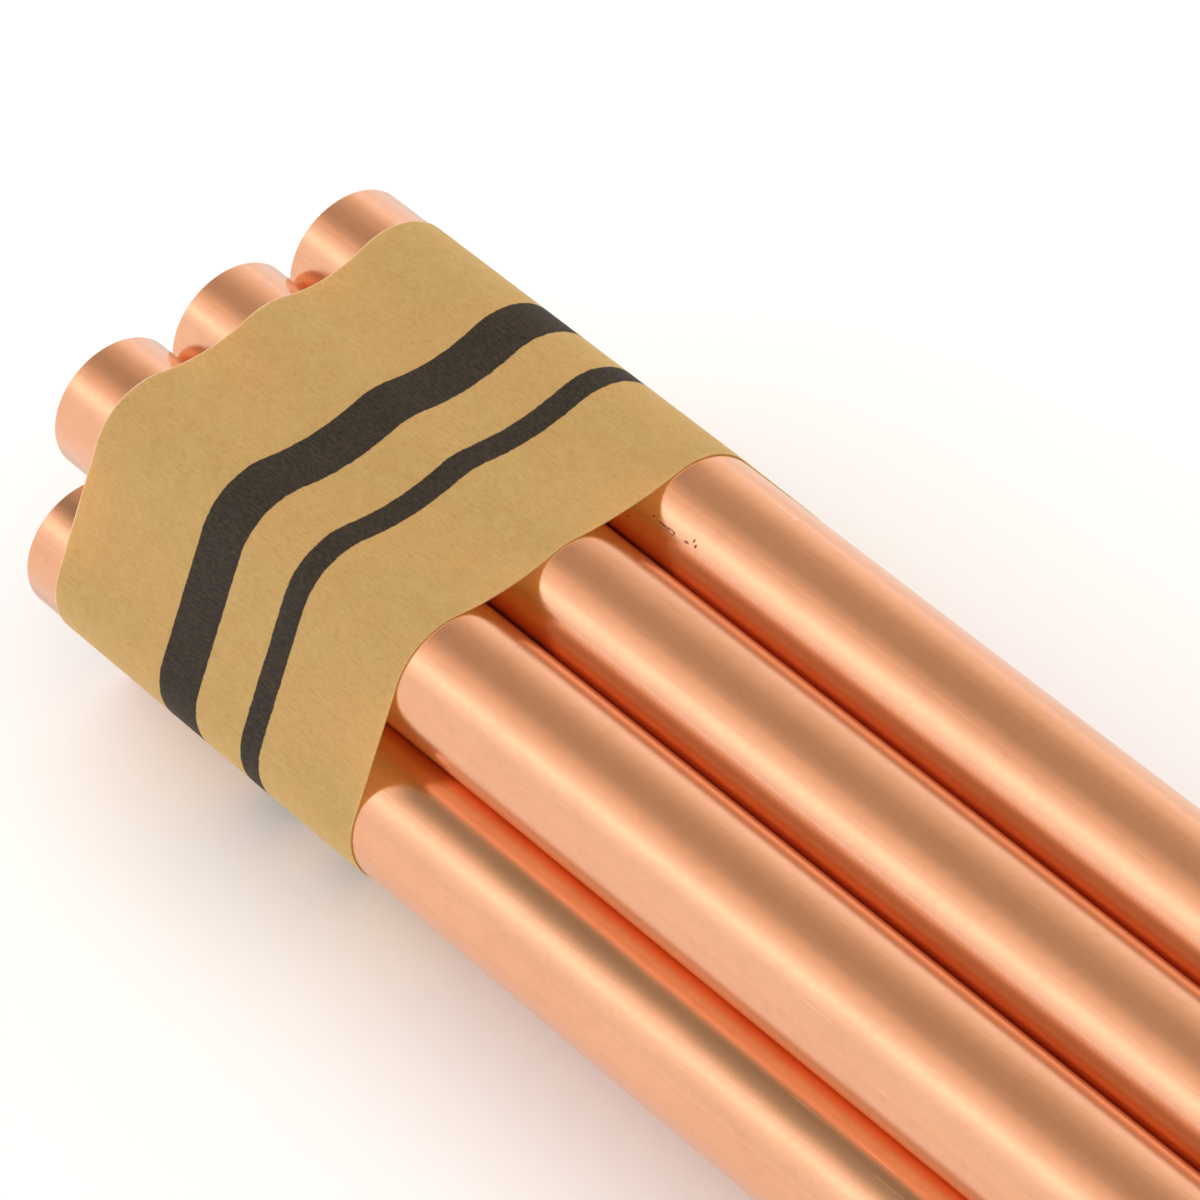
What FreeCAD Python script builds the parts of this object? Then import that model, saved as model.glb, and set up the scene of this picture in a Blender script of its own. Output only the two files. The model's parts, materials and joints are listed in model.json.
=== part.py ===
"""Bundle of copper pipe lengths, nested in rows of three, four and three and held by a kraft paper
band near each end.

The pipes lie along X. The origin is the middle of the bundle, on the floor that it lies on.
All sizes are in millimetres.
"""
import FreeCAD, Part
import math
import os

Vector = FreeCAD.Vector

# Pipe: half-hard tube, cut square and deburred at both ends
PIPE_DIAMETER = 22.0
PIPE_WALL = 0.9
PIPE_LENGTH = 2000.0
END_DEBURR = 0.2

# Bundle: rows from the floor up, and in each row the pipes from the -Y side to the +Y side
ROW_NAMES = ("bottom", "middle", "top")
ROW_COUNTS = (3, 4, 3)
PIPE_CLEARANCE = 0.1
# How far each pipe has slipped along the bundle, so that the ends don't line up
PIPE_SLIPS = (
    (-0.6, 0.7, -1.3),
    (1.6, 0.4, -0.9, 1.1),
    (-1.1, -1.5, -1.6),
)

# Paper band: one strip, drawn tight round the pipes and glued where its ends lap
BAND_NAMES = ("paper_band_left", "paper_band_right")
BAND_WIDTH = 72.0
BAND_INSET = 9.2
PAPER_THICKNESS = 0.25
PAPER_CLEARANCE = 0.05
PAPER_DIP = 1.3
LAP_LENGTH = 18.0

# Worked out from the sizes above
PIPE_RADIUS = PIPE_DIAMETER / 2
BORE_RADIUS = PIPE_RADIUS - PIPE_WALL
PITCH = PIPE_DIAMETER + PIPE_CLEARANCE
ROW_RISE = PITCH * math.sqrt(3) / 2
PAPER_RADIUS = PIPE_RADIUS + PAPER_CLEARANCE
FIRST_ROW_HEIGHT = PAPER_RADIUS + PAPER_THICKNESS


def row_centres(row):
    """Centres of one row's pipes in the YZ plane, from the -Y side to the +Y side."""
    count = ROW_COUNTS[row]
    height = FIRST_ROW_HEIGHT + row * ROW_RISE
    return [Vector(0, (i - (count - 1) / 2) * PITCH, height) for i in range(count)]


def pipe(centre, slip):
    """One tube: its wall in section, with the deburred corners, turned about its axis."""
    half = PIPE_LENGTH / 2
    section = [
        (-half, BORE_RADIUS + END_DEBURR),
        (-half, PIPE_RADIUS - END_DEBURR),
        (-half + END_DEBURR, PIPE_RADIUS),
        (half - END_DEBURR, PIPE_RADIUS),
        (half, PIPE_RADIUS - END_DEBURR),
        (half, BORE_RADIUS + END_DEBURR),
        (half - END_DEBURR, BORE_RADIUS),
        (-half + END_DEBURR, BORE_RADIUS),
    ]
    points = [Vector(x, 0, r) for x, r in section]
    wall = Part.Face(Part.makePolygon(points + points[:1]))
    tube = wall.revolve(Vector(0, 0, 0), Vector(1, 0, 0), 360)
    tube.translate(centre + Vector(slip, 0, 0))
    return tube


def paper_route():
    """The pipes that the paper bears on, in order round the bundle, each with the dip that follows it.

    The route runs along the bottom, up the +Y flank, back over the top and down the -Y flank. The
    paper sinks between the pipes of the top row and is straight everywhere else.
    """
    bottom, *middle, top = [row_centres(row) for row in range(len(ROW_COUNTS))]
    right_flank = [row[-1] for row in middle]
    left_flank = [row[0] for row in reversed(middle)]
    route = [(centre, 0.0) for centre in (bottom[0], bottom[-1], *right_flank)]
    route += [(centre, PAPER_DIP) for centre in reversed(top[1:])]
    route += [(centre, 0.0) for centre in (top[0], *left_flank)]
    return route


def outward(start, end):
    """The unit normal of the run from start to end that points out of the bundle."""
    along = (end - start).normalize()
    return Vector(0, along.z, -along.y)


def run_between(start, end, dip):
    """How the paper goes from one pipe to the next.

    Returns the directions in which it leaves the first pipe and meets the second one, and the centre
    and inner radius of the valley between them, or None for both where the paper runs straight.
    """
    normal = outward(start, end)
    if dip == 0:
        return normal, normal, None, None
    half = (end - start).Length / 2
    reach = (half**2 + dip**2) / (2 * dip)
    valley = (start + end) / 2 + normal * (reach - dip)
    return (valley - start) / reach, (valley - end) / reach, valley, reach - PAPER_RADIUS


def arc(centre, radius, first, last):
    """The short arc about centre between two directions."""
    middle = (first + last).normalize()
    return Part.Arc(*(centre + way * radius for way in (first, middle, last))).toShape()


def paper_outline(offset):
    """The face inside the paper's outline, offset outwards from its inner side."""
    route = paper_route()
    runs = []
    for (start, dip), (end, _) in zip(route, route[1:] + route[:1]):
        runs.append((start, end, *run_between(start, end, dip)))
    radius = PAPER_RADIUS + offset
    edges = []
    for before, run in zip(runs[-1:] + runs[:-1], runs):
        start, end, leaving, meeting, valley, valley_radius = run
        edges.append(arc(start, radius, before[3], leaving))
        if valley is None:
            edges.append(Part.makeLine(start + leaving * radius, end + meeting * radius))
        else:
            edges.append(arc(valley, valley_radius - offset, -leaving, -meeting))
    return Part.Face(Part.Wire(edges))


def lap_window():
    """The stretch of the lower +Y flank where the strip's ends lie on each other, as a face in section."""
    start, end = row_centres(0)[-1], row_centres(1)[-1]
    normal = outward(start, end)
    along = (end - start).normalize()
    middle = (start + end) / 2 + normal * PAPER_RADIUS
    half = along * (LAP_LENGTH / 2)
    depth = normal * PIPE_RADIUS
    corners = [middle - half - depth, middle + half - depth, middle + half + depth, middle - half + depth]
    return Part.Face(Part.makePolygon(corners + corners[:1]))


def paper_band(near_edge):
    """One band: a single thickness of paper all round, with a second one where its ends lap."""
    strip = paper_outline(PAPER_THICKNESS).cut(paper_outline(0.0))
    second = paper_outline(2 * PAPER_THICKNESS).cut(paper_outline(PAPER_THICKNESS))
    lap = second.common(lap_window())
    width = Vector(BAND_WIDTH, 0, 0)
    band = strip.extrude(width).fuse(lap.extrude(width)).removeSplitter()
    band.translate(Vector(near_edge, 0, 0))
    return band


def main():
    os.makedirs("parts", exist_ok=True)
    nodes = {}
    for row, (name, slips) in enumerate(zip(ROW_NAMES, PIPE_SLIPS)):
        for number, (centre, slip) in enumerate(zip(row_centres(row), slips), start=1):
            nodes[f"pipe_{name}_{number}"] = pipe(centre, slip)
    band_reach = PIPE_LENGTH / 2 - BAND_INSET
    for name, near_edge in zip(BAND_NAMES, (-band_reach, band_reach - BAND_WIDTH)):
        nodes[name] = paper_band(near_edge)
    for name, shape in nodes.items():
        print(name, "solids", len(shape.Solids), "valid", shape.isValid(), "mm3", round(shape.Volume, 1))
        shape.exportStep(f"parts/{name}.step")


main()
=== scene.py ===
"""Studio picture of a bundle of copper pipe lengths held by kraft paper bands.

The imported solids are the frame. Each pipe is replaced by a smooth tube of the same size, and each band
by the strip of paper that it is: drawn round the bundle, sunk between the top pipes and glued at a lap.
"""

import json
import logging
import math
from dataclasses import dataclass
from enum import Enum
from typing import Any, Iterable, Sequence

import bpy
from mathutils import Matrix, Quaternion, Vector


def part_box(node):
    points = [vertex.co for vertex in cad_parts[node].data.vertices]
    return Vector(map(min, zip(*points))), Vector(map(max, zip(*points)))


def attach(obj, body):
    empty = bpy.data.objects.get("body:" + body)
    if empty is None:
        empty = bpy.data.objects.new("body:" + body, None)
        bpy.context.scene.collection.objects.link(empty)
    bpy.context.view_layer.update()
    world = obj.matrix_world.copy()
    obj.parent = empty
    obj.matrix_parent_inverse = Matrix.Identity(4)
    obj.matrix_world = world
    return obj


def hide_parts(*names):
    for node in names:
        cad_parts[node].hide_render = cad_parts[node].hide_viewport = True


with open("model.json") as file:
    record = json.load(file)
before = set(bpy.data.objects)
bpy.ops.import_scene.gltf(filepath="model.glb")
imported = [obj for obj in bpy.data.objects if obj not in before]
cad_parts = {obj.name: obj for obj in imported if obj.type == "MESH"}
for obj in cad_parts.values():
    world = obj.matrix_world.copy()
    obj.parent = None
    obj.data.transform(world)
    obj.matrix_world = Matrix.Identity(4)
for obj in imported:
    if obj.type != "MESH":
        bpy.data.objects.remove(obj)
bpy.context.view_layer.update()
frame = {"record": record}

LOG = logging.getLogger("pipe_bundle")
MM = 0.001
Colour = tuple[float, float, float, float]
Pair = tuple[float, float]
Triple = tuple[float, float, float]
NOISE_MIDDLE = 0.5


class Value:
    """A number in a shader, on which Python's operators add Math nodes."""

    def __init__(self, shader: "Shader", socket: bpy.types.NodeSocket) -> None:
        """Hold a socket and the shader that it belongs to."""
        self.shader = shader
        self.socket = socket

    def math(self, operation: str, *others: "Value | float", first: "Value | float | None" = None) -> "Value":
        """Add one Math node.

        Args:
            operation: the node's operation.
            others: the values after this one.
            first: a value that comes before this one, for the reflected operators.

        Returns:
            The node's result.
        """
        values = [self, *others] if first is None else [first, self, *others]
        node = self.shader.node("ShaderNodeMath", {"operation": operation}, dict(enumerate(values)))
        return Value(self.shader, node.outputs[0])

    def __add__(self, other: "Value | float") -> "Value":
        """This value plus another."""
        return self.math("ADD", other)

    __radd__ = __add__

    def __sub__(self, other: "Value | float") -> "Value":
        """This value less another."""
        return self.math("SUBTRACT", other)

    def __rsub__(self, other: "Value | float") -> "Value":
        """Another value less this one."""
        return self.math("SUBTRACT", first=other)

    def __mul__(self, other: "Value | float") -> "Value":
        """This value times another."""
        return self.math("MULTIPLY", other)

    __rmul__ = __mul__

    def __abs__(self) -> "Value":
        """This value without its sign."""
        return self.math("ABSOLUTE")

    def largest(self, other: "Value | float") -> "Value":
        """The larger of this value and another."""
        return self.math("MAXIMUM", other)

    def step(self, low: float, high: float) -> "Value":
        """Rise smoothly from 0 at low to 1 at high, or fall where low is the larger.

        Args:
            low: where the result is 0.
            high: where the result is 1.

        Returns:
            The smoothed step.
        """
        rising = low < high
        ends = (low, high, 0.0, 1.0) if rising else (high, low, 1.0, 0.0)
        node = self.shader.node(
            "ShaderNodeMapRange", {"interpolation_type": "SMOOTHSTEP"},
            {"Value": self, "From Min": ends[0], "From Max": ends[1], "To Min": ends[2], "To Max": ends[3]})
        return Value(self.shader, node.outputs[0])


class Shader:
    """A node tree that is filled from Python expressions."""

    def __init__(self, tree: bpy.types.NodeTree) -> None:
        """Start from an empty tree."""
        self.tree = tree
        tree.nodes.clear()

    def node(self, kind: str, settings: dict[str, Any] | None = None,
             inputs: dict[str | int, Any] | None = None) -> bpy.types.Node:
        """Add any node.

        Args:
            kind: the node's type.
            settings: its own settings, set first; stops are a colour ramp's.
            inputs: the values or links of its sockets, by name or number.

        Returns:
            The new node.
        """
        node = self.tree.nodes.new(kind)
        for name, setting in (settings or {}).items():
            if name == "stops":
                self._set_stops(node.color_ramp, setting)
            else:
                setattr(node, name, setting)
        for name, given in (inputs or {}).items():
            socket = node.inputs[name]
            if isinstance(given, Value):
                self.tree.links.new(given.socket, socket)
            elif isinstance(given, bpy.types.NodeSocket):
                self.tree.links.new(given, socket)
            else:
                socket.default_value = given
        return node

    @staticmethod
    def _set_stops(ramp: bpy.types.ColorRamp, stops: Sequence[tuple[float, Colour]]) -> None:
        """Give a ramp its stops, each a place and a colour, and ease from one to the next."""
        ramp.interpolation = "EASE"
        while len(ramp.elements) < len(stops):
            ramp.elements.new(1.0)
        for element, (place, colour) in zip(ramp.elements, stops):
            element.position = place
            element.color = colour

    def ramp(self, place: Value, stops: Sequence[tuple[float, Colour]]) -> bpy.types.NodeSocket:
        """A colour that eases from stop to stop.

        Args:
            place: where on the ramp, from 0 to 1.
            stops: places in order, each with its colour.

        Returns:
            The colour's socket.
        """
        return self.node("ShaderNodeValToRGB", {"stops": stops}, {0: place}).outputs[0]

    def coordinates(self, scale: Sequence[float] = (1.0, 1.0, 1.0)) -> bpy.types.NodeSocket:
        """The object's own coordinates, stretched.

        Args:
            scale: a factor for each axis.

        Returns:
            The vector socket.
        """
        source = self.node("ShaderNodeTexCoord").outputs["Object"]
        return self.vector_math("MULTIPLY", source, tuple(scale)).outputs["Vector"]

    def vector_math(self, operation: str, *vectors: Any) -> bpy.types.Node:
        """Add one Vector Math node.

        Args:
            operation: the node's operation.
            vectors: the vectors or links that it works on.

        Returns:
            The node.
        """
        return self.node("ShaderNodeVectorMath", {"operation": operation}, dict(enumerate(vectors)))

    def axes(self, vector: bpy.types.NodeSocket) -> tuple[Value, Value, Value]:
        """The three numbers of a vector."""
        parts = self.node("ShaderNodeSeparateXYZ", None, {0: vector})
        return tuple(Value(self, socket) for socket in parts.outputs)

    def mix(self, amount: Value | float, low: Any, high: Any) -> bpy.types.NodeSocket:
        """Blend two colours.

        Args:
            amount: 0 for the first colour, 1 for the second.
            low: the first colour or a link to it.
            high: the second colour or a link to it.

        Returns:
            The blended colour's socket.
        """
        node = self.node("ShaderNodeMix", {"data_type": "RGBA"}, {0: amount, 6: low, 7: high})
        return node.outputs[2]

    def bump(self, height: Value, depth: float) -> bpy.types.NodeSocket:
        """The normal of a finely uneven surface.

        Args:
            height: the relief, from 0 to 1.
            depth: what 1 stands for, in metres.

        Returns:
            The normal's socket.
        """
        node = self.node("ShaderNodeBump", None, {"Height": height, "Distance": depth, "Strength": 1.0})
        return node.outputs["Normal"]

    def surface(self, inputs: dict[str | int, Any]) -> None:
        """End the tree in a Principled shader with these sockets."""
        shader = self.node("ShaderNodeBsdfPrincipled", None, inputs)
        self.node("ShaderNodeOutputMaterial", None, {"Surface": shader.outputs[0]})


def grey(level: float) -> Colour:
    """A neutral colour of one level."""
    return (level, level, level, 1.0)


def new_material(name: str) -> tuple[bpy.types.Material, Shader]:
    """Make an empty material.

    Args:
        name: the finish's name.

    Returns:
        The material and the shader that fills it.
    """
    material = bpy.data.materials.new(name)
    material.use_nodes = True
    return material, Shader(material.node_tree)


@dataclass(frozen=True)
class Pattern:
    """Cloudy noise over the object, which shows where it rises from low to high, up to a share.

    It has so many waves to the metre along each axis, and finer octaves of some strength.
    """

    waves: Triple
    octaves: float = 2.0
    strength: float = 0.5
    low: float = 0.0
    high: float = 1.0
    share: float = 1.0

    def noise(self, shader: Shader) -> Value:
        """Draw the bare noise.

        Args:
            shader: where it is drawn.

        Returns:
            The noise, about NOISE_MIDDLE on average.
        """
        node = shader.node("ShaderNodeTexNoise", None, {
            "Vector": shader.coordinates(self.waves),
            "Scale": 1.0,
            "Detail": self.octaves,
            "Roughness": self.strength,
        })
        return Value(shader, node.outputs[0])

    def shown(self, noise: Value) -> Value:
        """How much of the pattern shows, from its bare noise."""
        cover = noise.step(self.low, self.high)
        return cover if self.share == 1.0 else cover * self.share

    def cover(self, shader: Shader) -> Value:
        """Draw the pattern as it shows."""
        return self.shown(self.noise(shader))


@dataclass(frozen=True)
class Mark:
    """A mark on a pipe's skin: its middle and its half size along each axis, in mm.

    The blur of its edge and the clear part of its middle are shares of its size.
    """

    middle: Triple
    reach: Triple
    blur: float = 0.2
    clear: float = 0.0

    def inside(self, shader: Shader, here: bpy.types.NodeSocket, ragged: Value) -> Value:
        """Draw the mark.

        Args:
            shader: where it is drawn.
            here: the object's coordinates, in mm.
            ragged: noise that frays its edge.

        Returns:
            1 on the mark and 0 elsewhere.
        """
        away = shader.vector_math("SUBTRACT", here, self.middle).outputs["Vector"]
        share = shader.vector_math("DIVIDE", away, self.reach).outputs["Vector"]
        length = shader.vector_math("LENGTH", share).outputs["Value"]
        size = Value(shader, length) + ragged - NOISE_MIDDLE
        filled = size.step(1.0 + self.blur, 1.0 - self.blur)
        if self.clear == 0.0:
            return filled
        return filled * size.step(self.clear - self.blur, self.clear + self.blur)


def draw_marks(marks: Sequence[Mark], shader: Shader, ragged: Value) -> Value:
    """Draw several marks.

    Args:
        marks: what is drawn.
        shader: where they are drawn.
        ragged: noise that frays their edges.

    Returns:
        1 on any of the marks and 0 elsewhere.
    """
    here = shader.coordinates((1.0 / MM,) * 3)
    cover: Value | float = 0.0
    for mark in marks:
        cover = mark.inside(shader, here, ragged).largest(cover)
    return cover


class WearAndPaintedReflection(Enum):
    """What a pipe's skin carries besides its die lines and the clouds of handling: oxide spots on one pipe,
    and a dark reflection streak painted into the colour of another.
    """

    CLEAN = "clean"
    SPOTTED = "spotted"
    # a dark streak of mirrored shade, painted into the copper's colour
    PAINTED_REFLECTION = "reflection_painted"


@dataclass(frozen=True)
class DrawnCopper:
    """The bright satin skin of drawn pipe, faintly lined, clouded by handling and marked here and there, with
    a dark reflection streak painted along one pipe.
    """

    bright: Colour = (0.862, 0.443, 0.261, 1.0)
    handled: Colour = (0.770, 0.378, 0.217, 1.0)
    scraped: Colour = (0.960, 0.560, 0.360, 1.0)
    # painted reflection: the colour of the dark mirrored streak painted along one pipe
    painted_reflection_colour: Colour = (0.470, 0.262, 0.150, 1.0)
    oxide: Colour = (0.210, 0.085, 0.065, 1.0)
    roughness: float = 0.183
    handled_roughness: float = 0.025
    line_roughness: float = 0.05
    oxide_roughness: float = 0.3
    oxide_cover: float = 0.85
    drawn_along: float = 0.76
    line_depth: float = 0.022 * MM
    grain_depth: float = 0.009 * MM
    grain_share: float = 0.7
    lines: Pattern = Pattern((2.5, 650.0, 650.0), 3.0, 0.6)
    clouds: Pattern = Pattern((28.0, 60.0, 60.0), 3.0, 0.6, 0.42, 0.72, 0.35)
    smudges: Pattern = Pattern((240.0, 420.0, 420.0), 2.0, 0.6, 0.45, 0.75, 0.30)
    streaks: Pattern = Pattern((1.5, 620.0, 620.0), 2.0, 0.6, 0.40, 0.70, 0.35)
    grain: Pattern = Pattern((800.0, 900.0, 900.0), 2.0, 0.6)
    hairs: Pattern = Pattern((55.0, 2300.0, 2300.0), 1.0, 0.5, 0.74, 0.82, 0.60)
    frays: Pattern = Pattern((1900.0, 1900.0, 1900.0), 1.0)
    oxide_marks: tuple[Mark, ...] = (
        Mark((-915.1, 14.13, 57.15), (1.10, 0.17, 0.17)),
        Mark((-913.2, 14.05, 57.08), (1.05, 0.36, 0.36), 0.2, 0.5),
        Mark((-909.8, 14.15, 57.19), (0.52, 0.17, 0.17)),
        Mark((-908.7, 14.75, 57.76), (0.20, 0.30, 0.30)),
        Mark((-908.0, 14.40, 57.42), (0.24, 0.28, 0.28)),
        Mark((-921.6, 12.79, 55.44), (0.22, 0.18, 0.18)),
        Mark((-917.3, 14.28, 57.31), (0.18, 0.14, 0.14)),
    )
    scrapes: tuple[Mark, ...] = (
        Mark((-902.2, 26.80, 59.52), (2.40, 0.12, 0.12)),
        Mark((-900.2, 26.77, 59.54), (0.60, 0.24, 0.24)),
    )
    # Painted reflection: a long dark streak of mirrored shade painted along one pipe, and the patch by the
    # band where it is left unpainted.
    painted_reflection_streak: Mark = Mark((-700.0, -36.35, 40.95), (420.0, 1.75, 1.75), 0.6)
    painted_reflection_cutout: Mark = Mark((-925.0, -36.35, 40.95), (11.0, 8.0, 8.0), 0.25)

    def material(self, marking: WearAndPaintedReflection) -> bpy.types.Material:
        """Make the finish.

        Args:
            marking: what the skin carries.

        Returns:
            The material.
        """
        material, shader = new_material(f"drawn_copper_{marking.value}")
        lines, clouds, grain = (pattern.noise(shader) for pattern in (self.lines, self.clouds, self.grain))
        handled = self.clouds.shown(clouds) + self.smudges.cover(shader) + self.streaks.cover(shader)
        handled = handled + (grain - NOISE_MIDDLE) * self.grain_share
        colour = shader.mix(handled, self.bright, self.handled)
        roughness = self.roughness + handled * self.handled_roughness
        roughness = roughness + (lines - NOISE_MIDDLE) * self.line_roughness
        bare = self.hairs.cover(shader)
        # Painted reflection: the dark mirrored streak is painted into the colour, except by the band.
        if marking is WearAndPaintedReflection.PAINTED_REFLECTION:
            painted_streak = draw_marks([self.painted_reflection_streak], shader, clouds)
            painted_streak = painted_streak * (1.0 - draw_marks([self.painted_reflection_cutout], shader, clouds))
            colour = shader.mix(painted_streak, colour, self.painted_reflection_colour)
        if marking is WearAndPaintedReflection.SPOTTED:
            oxide = draw_marks(self.oxide_marks, shader, self.frays.noise(shader)) * self.oxide_cover
            colour = shader.mix(oxide, colour, self.oxide)
            roughness = roughness + oxide * self.oxide_roughness
            bare = draw_marks(self.scrapes, shader, grain).largest(bare)
        colour = shader.mix(bare, colour, self.scraped)
        shader.surface({
            "Base Color": colour,
            "Metallic": 1.0,
            "Roughness": roughness,
            "Anisotropic": self.drawn_along,
            "Normal": shader.bump(lines * self.line_depth + grain * self.grain_depth, 1.0),
        })
        return material


@dataclass(frozen=True)
class BoreCopper:
    """The duller inside of the pipe."""

    colour: Colour = (0.800, 0.350, 0.200, 1.0)
    deep: Colour = (0.560, 0.230, 0.130, 1.0)
    roughness: float = 0.34
    line_roughness: float = 0.15
    line_depth: float = 0.01 * MM
    lines: Pattern = Pattern((3.0, 900.0, 900.0), 3.0)
    clouds: Pattern = Pattern((40.0, 110.0, 110.0), 4.0, 0.6, 0.35, 0.75)

    def material(self) -> bpy.types.Material:
        """Make the finish.

        Returns:
            The material.
        """
        material, shader = new_material("bore_copper")
        lines = self.lines.noise(shader)
        shader.surface({
            "Base Color": shader.mix(self.clouds.cover(shader), self.colour, self.deep),
            "Metallic": 1.0,
            "Roughness": self.roughness + (lines - NOISE_MIDDLE) * self.line_roughness,
            "Normal": shader.bump(lines, self.line_depth),
        })
        return material


@dataclass(frozen=True)
class SawnCopper:
    """The cut ends, scored by the saw and deburred."""

    colour: Colour = (0.950, 0.500, 0.310, 1.0)
    scored: Colour = (0.760, 0.360, 0.215, 1.0)
    roughness: float = 0.26
    score_roughness: float = 0.2
    score_depth: float = 0.012 * MM
    scores: Pattern = Pattern((400.0, 420.0, 5200.0), 2.0, 0.5, 0.40, 0.70)

    def material(self) -> bpy.types.Material:
        """Make the finish.

        Returns:
            The material.
        """
        material, shader = new_material("sawn_copper")
        scores = self.scores.noise(shader)
        shader.surface({
            "Base Color": shader.mix(self.scores.shown(scores), self.colour, self.scored),
            "Metallic": 1.0,
            "Roughness": self.roughness + (scores - NOISE_MIDDLE) * self.score_roughness,
            "Normal": shader.bump(scores, self.score_depth),
        })
        return material


class Print(Enum):
    """What a band carries on its outer side."""

    PLAIN = "plain"
    STRIPES = "stripes"


@dataclass(frozen=True)
class KraftPaper:
    """Brown kraft paper: thin, fibrous, faintly mottled and matt, with or without black ink stripes."""

    tan: Colour = (0.628, 0.336, 0.113, 1.0)
    pale: Colour = (0.676, 0.369, 0.132, 1.0)
    dark: Colour = (0.440, 0.225, 0.071, 1.0)
    warm: Colour = (0.735, 0.350, 0.122, 1.0)
    inside: Colour = (0.640, 0.345, 0.118, 1.0)
    ink: Colour = (0.0205, 0.0180, 0.0138, 1.0)
    roughness: float = 0.78
    grain_roughness: float = 0.2
    gloss: float = 0.25
    fibre_depth: float = 0.04 * MM
    grain_relief: float = 0.6
    fibre_relief: float = 0.4
    ink_bleed: float = 0.12 * MM
    ink_wander: float = 0.48 * MM
    ink_cover: float = 0.995
    see_through: float = 1.0
    see_through_depth: float = 1.8 * MM
    see_through_colours: Triple = (1.0, 1.0, 0.82)
    mottle: Pattern = Pattern((260.0, 330.0, 330.0), 3.0, 0.65, 0.28, 0.72)
    patches: Pattern = Pattern((55.0, 70.0, 70.0), 2.0, 0.5, 0.42, 0.70, 0.60)
    grain: Pattern = Pattern((650.0, 2600.0, 2600.0), 2.0, 0.65, 0.40, 0.80, 0.42)
    fibres: Pattern = Pattern((4200.0, 700.0, 700.0), 1.0, 0.6, 0.56, 0.80, 0.48)
    wander: Pattern = Pattern((700.0, 700.0, 700.0), 2.0, 0.7)
    dry: Pattern = Pattern((900.0, 3600.0, 3600.0), 2.0, 0.6, 0.34, 0.74, 0.06)

    def lining(self) -> bpy.types.Material:
        """Make the plain finish of the side that lies on the pipes.

        Returns:
            The material.
        """
        material, shader = new_material("kraft_paper_inside")
        shader.surface({"Base Color": self.inside, "Roughness": self.roughness, **self.body()})
        return material

    def body(self) -> dict[str, Any]:
        """The sockets that both sides share: a weak gloss, and light that soaks into the paper."""
        return {
            "Specular IOR Level": self.gloss,
            "Subsurface Weight": self.see_through,
            "Subsurface Radius": self.see_through_colours,
            "Subsurface Scale": self.see_through_depth,
        }

    def material(self, print_kind: Print, stripes: Sequence[Pair] = ()) -> bpy.types.Material:
        """Make the finish of the outer side.

        Args:
            print_kind: what is printed on it.
            stripes: each stripe's middle along the bundle and its width, in metres.

        Returns:
            The material.
        """
        material, shader = new_material(f"kraft_paper_{print_kind.value}")
        grain, fibres = self.grain.noise(shader), self.fibres.noise(shader)
        colour = shader.mix(self.mottle.cover(shader), self.tan, self.pale)
        colour = shader.mix(self.patches.cover(shader), colour, self.warm)
        colour = shader.mix(self.grain.shown(grain), colour, self.dark)
        colour = shader.mix(self.fibres.shown(fibres), colour, self.pale)
        if print_kind is Print.STRIPES:
            colour = shader.mix(self.inked(shader, stripes), colour, self.ink)
        shader.surface({
            "Base Color": colour,
            "Roughness": self.roughness + (grain - NOISE_MIDDLE) * self.grain_roughness,
            "Normal": shader.bump(grain * self.grain_relief + fibres * self.fibre_relief, self.fibre_depth),
            **self.body(),
        })
        return material

    def inked(self, shader: Shader, stripes: Sequence[Pair]) -> Value:
        """Where the ink lies.

        Args:
            shader: where it is drawn.
            stripes: each stripe's middle along the bundle and its width, in metres.

        Returns:
            How much of the colour is ink.
        """
        along = shader.axes(shader.coordinates())[0]
        wander = (self.wander.noise(shader) - NOISE_MIDDLE) * self.ink_wander
        cover: Value | float = 0.0
        for middle, width in stripes:
            edge = abs(along + wander - middle) - width / 2
            cover = edge.step(self.ink_bleed, -self.ink_bleed).largest(cover)
        return cover * (self.ink_cover - self.dry.cover(shader))


def mesh_object(name: str, vertices: Iterable[Sequence[float]], faces: Sequence[Sequence[int]],
                slots: Sequence[int], materials: Sequence[bpy.types.Material]) -> bpy.types.Object:
    """Make a smooth mesh piece.

    Args:
        name: the piece's name.
        vertices: its points, in metres.
        faces: its faces, as numbers of points.
        slots: each face's material number.
        materials: its materials.

    Returns:
        The piece, in the scene.
    """
    mesh = bpy.data.meshes.new(name)
    mesh.from_pydata(list(vertices), [], faces)
    mesh.polygons.foreach_set("material_index", slots)
    mesh.polygons.foreach_set("use_smooth", [True] * len(faces))
    for material in materials:
        mesh.materials.append(material)
    mesh.update()
    piece = bpy.data.objects.new(name, mesh)
    bpy.context.scene.collection.objects.link(piece)
    return piece


class PipeSkin(Enum):
    """Which side of a pipe a face lies on, as its material number."""

    OUTSIDE = 0
    BORE = 1
    END = 2


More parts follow.
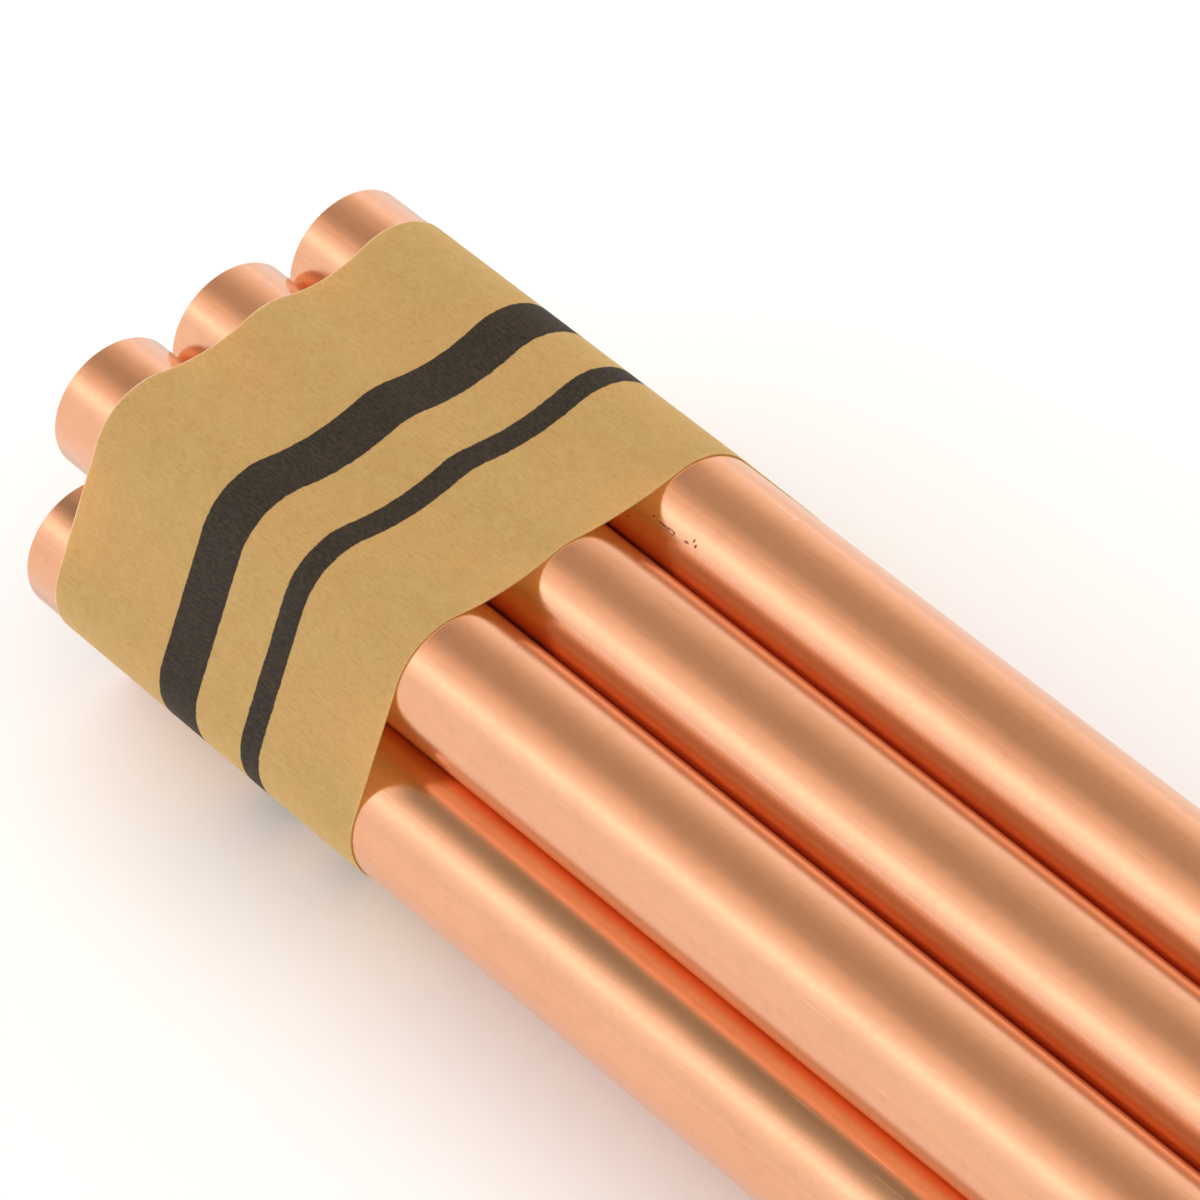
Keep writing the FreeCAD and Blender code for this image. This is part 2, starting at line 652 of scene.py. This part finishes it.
@dataclass
class CopperPipe:
    """One length of pipe, turned from the section of its wall."""

    node: str
    centre: Vector
    length: float
    bore_radius: float
    wall: float = 0.9 * MM
    deburr: float = 0.2 * MM
    sides: int = 128
    stations: int = 24
    rim_steps: int = 3
    gloss_lengths: float = 1000.0

    def section(self) -> list[tuple[float, float, PipeSkin]]:
        """The wall's outline, each point with the skin that follows it.

        Returns:
            Places along the pipe, radii and skins, in order round the wall.
        """
        half = self.length / 2
        outer = self.bore_radius + self.wall
        shoulder = half - self.deburr
        points = []
        for i in range(self.stations + 1):
            skin = PipeSkin.OUTSIDE if i < self.stations else PipeSkin.END
            points.append((-shoulder + 2 * shoulder * i / self.stations, outer, skin))
        points += self.rim(shoulder, outer - self.deburr, 90.0, 0.0, 1.0)
        points += self.rim(shoulder, self.bore_radius + self.deburr, 0.0, -90.0, 1.0)
        for i in range(self.stations + 1):
            skin = PipeSkin.BORE if i < self.stations else PipeSkin.END
            points.append((shoulder - 2 * shoulder * i / self.stations, self.bore_radius, skin))
        points += self.rim(shoulder, self.bore_radius + self.deburr, -90.0, 0.0, -1.0)
        points += self.rim(shoulder, outer - self.deburr, 0.0, 90.0, -1.0)
        return points

    def rim(self, shoulder: float, radius: float, start: float, stop: float, side: float
            ) -> list[tuple[float, float, PipeSkin]]:
        """The rounded corner of an end, without the points that it shares with the walls.

        Args:
            shoulder: where the rounding's centre is along the pipe.
            radius: how far that centre is from the axis.
            start: the first angle, in degrees from the axis.
            stop: the last angle.
            side: 1 for the +X end, -1 for the other.

        Returns:
            Points of the end's skin.
        """
        points = []
        for i in range(self.rim_steps + 1):
            angle = math.radians(start + (stop - start) * i / self.rim_steps)
            if not math.isclose(abs(angle), math.pi / 2):
                along = side * (shoulder + self.deburr * math.cos(angle))
                points.append((along, radius + self.deburr * math.sin(angle), PipeSkin.END))
        return points

    def build(self, materials: Sequence[bpy.types.Material]) -> bpy.types.Object:
        """Turn the section about the pipe's axis.

        Args:
            materials: the finishes, in PipeSkin's order.

        Returns:
            The pipe.
        """
        outline = self.section()
        vertices, faces, slots = [], [], []
        for along, radius, _ in outline:
            for k in range(self.sides):
                angle = 2 * math.pi * k / self.sides
                turned = Vector((along, radius * math.cos(angle), radius * math.sin(angle)))
                vertices.append(self.centre + turned)
        rings = len(outline)
        for i, (_, _, skin) in enumerate(outline):
            here, there = i * self.sides, (i + 1) % rings * self.sides
            for k in range(self.sides):
                j = (k + 1) % self.sides
                faces.append((here + k, there + k, there + j, here + j))
                slots.append(skin.value)
        piece = mesh_object(f"smooth_{self.node}", vertices, faces, slots, materials)
        self.turn_gloss(piece.data)
        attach(piece, "root")
        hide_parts(self.node)
        return piece

    def turn_gloss(self, mesh: bpy.types.Mesh) -> None:
        """Spread the drawn skin's gloss round the pipe, across its die lines.

        The shader spreads it round an upright axis through the texture space's middle. From a middle far
        along the pipe, that way goes round the pipe at every point of it.

        Args:
            mesh: the pipe's mesh.
        """
        mesh.use_auto_texspace = False
        mesh.texspace_location = self.centre + Vector((self.gloss_lengths * self.length, 0.0, 0.0))
        mesh.texspace_size = (1.0, 1.0, 1.0)


class PaperSide(Enum):
    """Which side of the paper a face lies on, as its material number."""

    OUTER = 0
    INNER = 1


@dataclass
class Span:
    """A stretch of the paper's section between two places: an arc, or a straight run where radius is None."""

    first: Vector
    last: Vector
    centre: Vector
    radius: float | None
    hollow: bool
    steps: int

    def at(self, share: float, offset: float) -> Vector:
        """A point of the stretch.

        Args:
            share: how far along it, from 0 to 1.
            offset: how far outside the paper's inner side.

        Returns:
            The point, as Y and Z.
        """
        if self.radius is None:
            along = (self.last - self.first).normalized()
            return self.first.lerp(self.last, share) + Vector((along.y, -along.x)) * offset
        start = math.atan2(*(self.first - self.centre).yx)
        turn = math.remainder(math.atan2(*(self.last - self.centre).yx) - start, 2 * math.pi)
        angle = start + turn * share
        radius = self.radius + (-offset if self.hollow else offset)
        return self.centre + Vector((math.cos(angle), math.sin(angle))) * radius


@dataclass
class PaperBand:
    """A strip of kraft paper round the bundle, with its ends glued on the lower +Y flank."""

    node: str
    rows: list[list[Vector]]
    pipe_radius: float
    first_edge: float
    last_edge: float
    first_dips: Pair
    last_dips: Pair
    thickness: float = 0.25 * MM
    clearance: float = 0.05 * MM
    lap_length: float = 18.0 * MM
    glue: float = 0.03 * MM
    crease: float = 50.0
    stations: int = 48
    run_steps: int = 24
    bend_steps: int = 14

    def spans(self, share: float) -> list[Span]:
        """The paper's section at one place across its width.

        Args:
            share: how far across the width, from 0 to 1.

        Returns:
            Its stretches in order round the bundle, from the lower +Y flank on.
        """
        bottom, middle, top = self.rows
        right, left = (a + (b - a) * share for a, b in zip(self.first_dips, self.last_dips))
        route = [(bottom[-1], 0.0), (middle[-1], 0.0), (top[2], right), (top[1], left),
                 (top[0], 0.0), (middle[0], 0.0), (bottom[0], 0.0)]
        radius = self.pipe_radius + self.clearance
        runs = []
        for (start, dip), (end, _) in zip(route, route[1:] + route[:1]):
            runs.append((start, end, *self.run(start, end, dip, radius)))
        spans = []
        for run, after in zip(runs, runs[1:] + runs[:1]):
            start, end, leaving, meeting, valley, valley_radius = run
            first, last = start + leaving * radius, end + meeting * radius
            spans.append(Span(first, last, valley, valley_radius, True, self.run_steps))
            spans.append(Span(last, end + after[2] * radius, end, radius, False, self.bend_steps))
        return spans

    @staticmethod
    def run(start: Vector, end: Vector, dip: float, radius: float
            ) -> tuple[Vector, Vector, Vector | None, float | None]:
        """How the paper goes from one pipe to the next.

        Args:
            start: the first pipe's centre.
            end: the second pipe's centre.
            dip: how far the paper sinks between them.
            radius: the paper's radius round a pipe.

        Returns:
            The directions in which it leaves the first pipe and meets the second, and the centre and
            radius of the valley between them, or None for both where the paper runs straight.
        """
        along = (end - start).normalized()
        normal = Vector((along.y, -along.x))
        if dip == 0.0:
            return normal, normal, None, None
        half = (end - start).length / 2
        reach = (half**2 + dip**2) / (2 * dip)
        valley = (start + end) / 2 + normal * (reach - dip)
        return (valley - start) / reach, (valley - end) / reach, valley, reach - radius

    def marks(self) -> list[tuple[int, float, float]]:
        """Where the strip's points lie: the span, how far along it, and how far out of the first turn.

        The strip starts and ends on the first span: its last stretch lies on its first, at the lap.

        Returns:
            Span numbers, shares and offsets in order along the strip.
        """
        spans = self.spans(0.0)
        run = (spans[0].last - spans[0].first).length
        margin = (run - self.lap_length) / 2 / run
        marks = []
        steps = spans[0].steps
        for i in range(steps + 1):
            marks.append((0, margin + (1 - margin) * i / steps, 0.0))
        for number in range(1, len(spans)):
            steps = spans[number].steps
            rising = number == len(spans) - 1
            for i in range(1, steps + 1):
                share = i / steps
                lift = max(0.0, share * 2 - 1) if rising else 0.0
                marks.append((number, share, lift))
        for i in range(1, self.bend_steps + 1):
            marks.append((0, (1 - margin) * i / self.bend_steps, 1.0))
        return marks

    def build(self, materials: Sequence[bpy.types.Material]) -> bpy.types.Object:
        """Wind the strip round the bundle.

        Args:
            materials: the finishes, in PaperSide's order.

        Returns:
            The band.
        """
        marks = self.marks()
        count = len(marks)
        vertices, faces = [], []
        for station in range(self.stations + 1):
            share = station / self.stations
            along = self.first_edge + (self.last_edge - self.first_edge) * share
            spans = self.spans(share)
            for side in (0.0, self.thickness):
                for number, place, lift in marks:
                    offset = side + lift * (self.thickness + self.glue)
                    point = spans[number].at(place, offset)
                    vertices.append((along, point.x, point.y))
        row = 2 * count
        for station in range(self.stations):
            here, there = station * row, (station + 1) * row
            for i in range(count - 1):
                inner = (here + i, here + i + 1, there + i + 1, there + i)
                faces.append(inner)
                faces.append(tuple(count + v for v in reversed(inner)))
            for i in (0, count - 1):
                end = (here + i, there + i, there + count + i, here + count + i)
                faces.append(end if i == 0 else tuple(reversed(end)))
        last = self.stations * row
        for i in range(count - 1):
            faces.append((i, count + i, count + i + 1, i + 1))
            faces.append((last + i, last + i + 1, last + count + i + 1, last + count + i))
        slots = []
        for face in faces:
            side = PaperSide.INNER if all(v % row < count for v in face) else PaperSide.OUTER
            slots.append(side.value)
        piece = mesh_object(f"wound_{self.node}", vertices, faces, slots, materials)
        piece.data.set_sharp_from_angle(angle=math.radians(self.crease))
        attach(piece, "root")
        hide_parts(self.node)
        return piece


@dataclass
class PipeBundle:
    """The nested pipes and the two bands round them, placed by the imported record."""

    wall: float = 0.9 * MM
    printed: str = "paper_band_left"
    spotted: str = "pipe_top_3"
    # the pipe with the painted dark reflection streak
    reflection_painted: str = "pipe_middle_1"
    outer_dips: Pair = (1.95 * MM, 1.55 * MM)
    inner_dips: Pair = (0.80 * MM, 1.10 * MM)
    stripe_places: Pair = (30.5 * MM, 48.0 * MM)
    stripe_widths: Pair = (9.0 * MM, 4.5 * MM)

    def pipes(self) -> list[CopperPipe]:
        """The pipes, each centred on its bore.

        Returns:
            One for each bore of the record.
        """
        pipes = []
        for mount in frame["record"]["mounts"]:
            if mount["kind"] == "bore":
                node = mount["name"].replace("bore_", "pipe_")
                low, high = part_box(node)
                pipes.append(CopperPipe(node, Vector(mount["pos_m"]), high[0] - low[0],
                                        mount["dims"]["r_mm"] * MM, self.wall))
        return pipes

    def bands(self, pipes: Sequence[CopperPipe]) -> list[PaperBand]:
        """The bands, wound on the pipes.

        Args:
            pipes: the bundle's pipes.

        Returns:
            The band at the -X end and the one at the +X end.
        """
        rows = []
        for name in ("bottom", "middle", "top"):
            rows.append([Vector(pipe.centre.yz) for pipe in pipes if f"_{name}_" in pipe.node])
        radius = pipes[0].bore_radius + self.wall
        bands = []
        for node, dips in (("paper_band_left", (self.outer_dips, self.inner_dips)),
                           ("paper_band_right", (self.inner_dips, self.outer_dips))):
            low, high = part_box(node)
            bands.append(PaperBand(node, rows, radius, low[0], high[0], *dips))
        return bands

    def marking_of(self, pipe: CopperPipe) -> WearAndPaintedReflection:
        """How a pipe's skin is marked: one of the seen ones carries oxide spots, and on another a dark
        reflection streak is painted.
        """
        return {self.spotted: WearAndPaintedReflection.SPOTTED, self.reflection_painted: WearAndPaintedReflection.PAINTED_REFLECTION}.get(pipe.node, WearAndPaintedReflection.CLEAN)

    def paper_for(self, band: PaperBand) -> bpy.types.Material:
        """A band's outer finish: stripes on the printed one, none on the other.

        Args:
            band: the band that it is for.

        Returns:
            The material.
        """
        if band.node != self.printed:
            return KraftPaper().material(Print.PLAIN)
        middles = [band.first_edge + place for place in self.stripe_places]
        return KraftPaper().material(Print.STRIPES, list(zip(middles, self.stripe_widths)))

    def build(self) -> list[bpy.types.Object]:
        """Make and dress every piece.

        Returns:
            The pieces.
        """
        skins = {marking: DrawnCopper().material(marking) for marking in WearAndPaintedReflection}
        bore, sawn = BoreCopper().material(), SawnCopper().material()
        pipes = self.pipes()
        pieces = [pipe.build([skins[self.marking_of(pipe)], bore, sawn]) for pipe in pipes]
        lining = KraftPaper().lining()
        pieces += [band.build([self.paper_for(band), lining]) for band in self.bands(pipes)]
        return pieces


@dataclass
class Studio:
    """A white floor under a soft tent of light, and the camera.

    Lengths are in metres, the lens and the sensor in mm, and angles in degrees.
    """

    floor_half: float = 30.0
    floor_drop: float = 0.3 * MM
    floor_colour: float = 0.90
    floor_seen: float = 0.975
    floor_mirrored: float = 0.925
    tent_level: float = 1.055
    front_edge: Pair = (-0.35, 0.15)
    front_level: float = 1.0
    front_gap_depth: float = 0.35
    ramp_angles: Pair = (-40.0, 160.0)
    gap: tuple[float, ...] = (2.2, 70.0, 81.4, 125.0)
    gap_depth: float = 0.607
    glow: tuple[float, ...] = (10.0, 30.0, 113.0, 121.0)
    glow_colour: Colour = (1.16, 1.0, 0.84, 1.0)
    window: tuple[float, ...] = (119.0, 135.0, 137.0, 154.5)
    window_gain: float = 0.70
    low_window: tuple[float, ...] = (-30.0, -5.0, 5.0, 31.0)
    low_window_gain: float = 0.165
    lamp_size: Pair = (60.0, 40.0)
    lamp_height: float = 30.0
    lamp_watts: float = 5000.0
    camera_place: Triple = (-0.15246, -0.47337, 0.91109)
    azimuth: float = 58.088
    elevation: float = 43.752
    roll: float = -9.772
    lens: float = 262.02
    sensor: float = 36.0
    sight: float = 200.0

    def floor(self) -> bpy.types.Object:
        """Lay the floor.

        Returns:
            The floor.
        """
        material, shader = new_material("white_floor")
        rays = shader.node("ShaderNodeLightPath")
        mirrored = Value(shader, rays.outputs["Is Glossy Ray"])
        mirrored = mirrored.largest(Value(shader, rays.outputs["Is Transmission Ray"]))
        seen = Value(shader, rays.outputs["Is Camera Ray"])
        colour = shader.mix(seen, grey(self.floor_colour), grey(self.floor_seen))
        colour = shader.mix(mirrored, colour, grey(self.floor_mirrored))
        paint = shader.node("ShaderNodeBsdfDiffuse", None, {"Color": colour})
        shader.node("ShaderNodeOutputMaterial", None, {"Surface": paint.outputs[0]})
        half, height = self.floor_half, -self.floor_drop
        corners = [(-half, -half, height), (half, -half, height), (half, half, height), (-half, half, height)]
        floor = mesh_object("floor", corners, [(0, 1, 2, 3)], [0], [material])
        return floor

    def light(self) -> None:
        """Hang the tent: even light, a dim warm gap overhead, a bright window at -Y and a low one at +Y.

        Angles go round the bundle's length in degrees, from +Y over the top. The front has the gap alone.
        """
        world = bpy.data.worlds.new("tent")
        bpy.context.scene.world = world
        world.use_nodes = True
        shader = Shader(world.node_tree)
        along, across, up = shader.axes(shader.node("ShaderNodeTexCoord").outputs["Generated"])
        first, last = self.ramp_angles
        width = last - first
        place = up.math("ARCTAN2", across) * (math.degrees(1.0) / width) - first / width
        gap = Value(shader, shader.ramp(place, self.hump(self.gap, grey(0.0), grey(1.0))))
        tent = self.tent_level
        panes = self.hump(self.low_window, grey(tent), grey(tent + self.low_window_gain))
        panes += self.hump(self.window, grey(tent), grey(tent + self.window_gain))
        behind = Value(shader, shader.ramp(place, panes)) - gap * self.gap_depth
        front = along.step(*self.front_edge)
        level = behind + (self.front_level - gap * self.front_gap_depth - behind) * front
        seen = Value(shader, shader.node("ShaderNodeLightPath").outputs["Is Camera Ray"])
        level = level + (1.0 - level) * seen
        colour = shader.ramp(place, self.hump(self.glow, grey(1.0), self.glow_colour))
        colour = shader.mix(front.largest(seen), colour, grey(1.0))
        sky = shader.node("ShaderNodeBackground", None, {"Color": colour, "Strength": level})
        shader.node("ShaderNodeOutputWorld", None, {"Surface": sky.outputs[0]})

    def lamp(self) -> bpy.types.Object:
        """Hang a wide soft lamp over the bundle, for matt surfaces alone: the copper mirrors the tent.

        Returns:
            The lamp.
        """
        data = bpy.data.lights.new("overhead_lamp", "AREA")
        data.shape = "RECTANGLE"
        data.size, data.size_y = self.lamp_size
        data.energy = self.lamp_watts
        lamp = bpy.data.objects.new("overhead_lamp", data)
        lamp.location = (0.0, 0.0, self.lamp_height)
        lamp.visible_glossy = False
        lamp.visible_camera = False
        bpy.context.scene.collection.objects.link(lamp)
        return lamp

    def hump(self, angles: Sequence[float], outside: Colour, inside: Colour) -> list[tuple[float, Colour]]:
        """Ramp stops that rise between the first two angles and fall between the last two.

        Args:
            angles: four angles in order.
            outside: the colour before the first one and after the last.
            inside: the colour between the middle two.

        Returns:
            Places on the ramp and colours.
        """
        first, last = self.ramp_angles
        colours = (outside, inside, inside, outside)
        return [((angle - first) / (last - first), colour) for angle, colour in zip(angles, colours)]

    def camera(self) -> bpy.types.Object:
        """Set up the camera at the photograph's viewing angle.

        Returns:
            The camera.
        """
        data = bpy.data.cameras.new("camera")
        data.lens = self.lens
        data.sensor_width = self.sensor
        data.clip_end = self.sight
        camera = bpy.data.objects.new("camera", data)
        azimuth, elevation = math.radians(self.azimuth), math.radians(self.elevation)
        away = Vector((math.sin(azimuth) * math.cos(elevation), -math.cos(azimuth) * math.cos(elevation),
                       math.sin(elevation)))
        level = (-away).to_track_quat("-Z", "Y")
        camera.rotation_mode = "QUATERNION"
        camera.rotation_quaternion = level @ Quaternion((0.0, 0.0, 1.0), math.radians(self.roll))
        camera.location = self.camera_place
        bpy.context.scene.collection.objects.link(camera)
        bpy.context.scene.camera = camera
        return camera


def main() -> None:
    """Build the studio and the bundle, and report each piece."""
    logging.basicConfig(level=logging.INFO, format="%(message)s")
    bpy.context.scene.view_settings.view_transform = "Standard"
    studio = Studio()
    studio.floor()
    studio.light()
    studio.lamp()
    studio.camera()
    for piece in PipeBundle().build():
        LOG.info("%s: %d faces", piece.name, len(piece.data.polygons))


if __name__ == "__main__":
    main()
